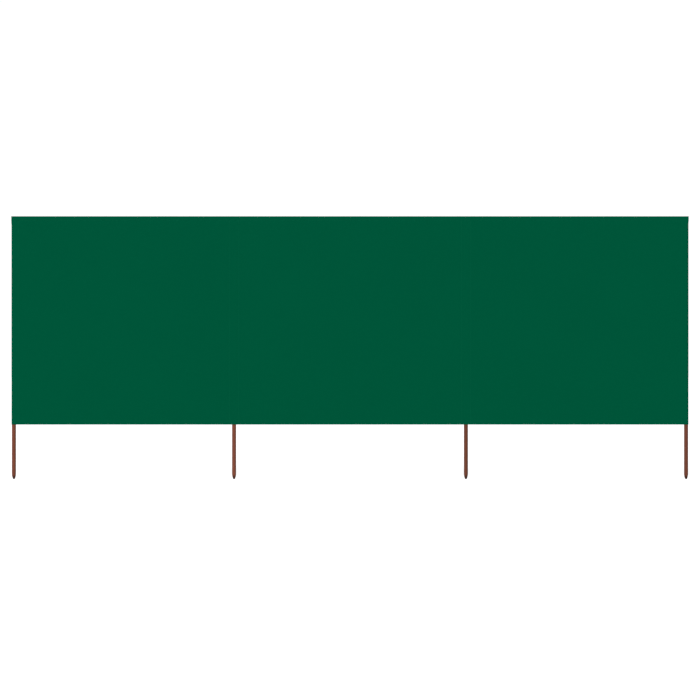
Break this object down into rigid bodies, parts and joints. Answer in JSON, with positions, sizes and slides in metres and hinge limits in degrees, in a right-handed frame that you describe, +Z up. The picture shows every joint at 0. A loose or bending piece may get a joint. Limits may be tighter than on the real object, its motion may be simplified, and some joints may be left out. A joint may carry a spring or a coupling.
{
  "type": "beach windbreak",
  "caption": "Folding cloth beach windbreak: a long plain sheet sewn into bays, with pointed wooden poles in pockets on the back, pushed into the sand to make a low screen.",
  "frame": {"origin": "centre of the flat tip at the foot of the first pole", "axes": "+X along the cloth from the first pole to the last, +Y towards the pocket side, +Z up"},
  "size_m": [4.0002, 0.0282, 1.552],
  "materials": {
    "face_cloth": "plain woven, matt, deep green",
    "hem_cloth": "plain woven, matt, deep green",
    "pocket_cloth": "plain woven, matt, deep green",
    "pole_wood": "stained, matt"
  },
  "bodies": {
    "bay_1": {"pole_1": "pole_wood", "pole_pocket_1": "pocket_cloth", "pole_2": "pole_wood", "pole_pocket_2": "pocket_cloth", "panel_1": "face_cloth", "top_hem_1": "hem_cloth", "bottom_hem_1": "hem_cloth"},
    "bay_2": {"pole_3": "pole_wood", "pole_pocket_3": "pocket_cloth", "panel_2": "face_cloth", "top_hem_2": "hem_cloth", "bottom_hem_2": "hem_cloth"},
    "bay_3": {"pole_4": "pole_wood", "pole_pocket_4": "pocket_cloth", "panel_3": "face_cloth", "top_hem_3": "hem_cloth", "bottom_hem_3": "hem_cloth"}
  },
  "joints": [
    {"name": "bay_2_swing", "type": "hinge", "parent": "bay_1", "child": "bay_2", "pos_m": [1.301, 0, 0], "axis": [0, 0, 1], "range_deg": [-120, 120]},
    {"name": "bay_3_swing", "type": "hinge", "parent": "bay_2", "child": "bay_3", "pos_m": [2.671, 0, 0], "axis": [0, 0, 1], "range_deg": [-120, 120]}
  ]
}
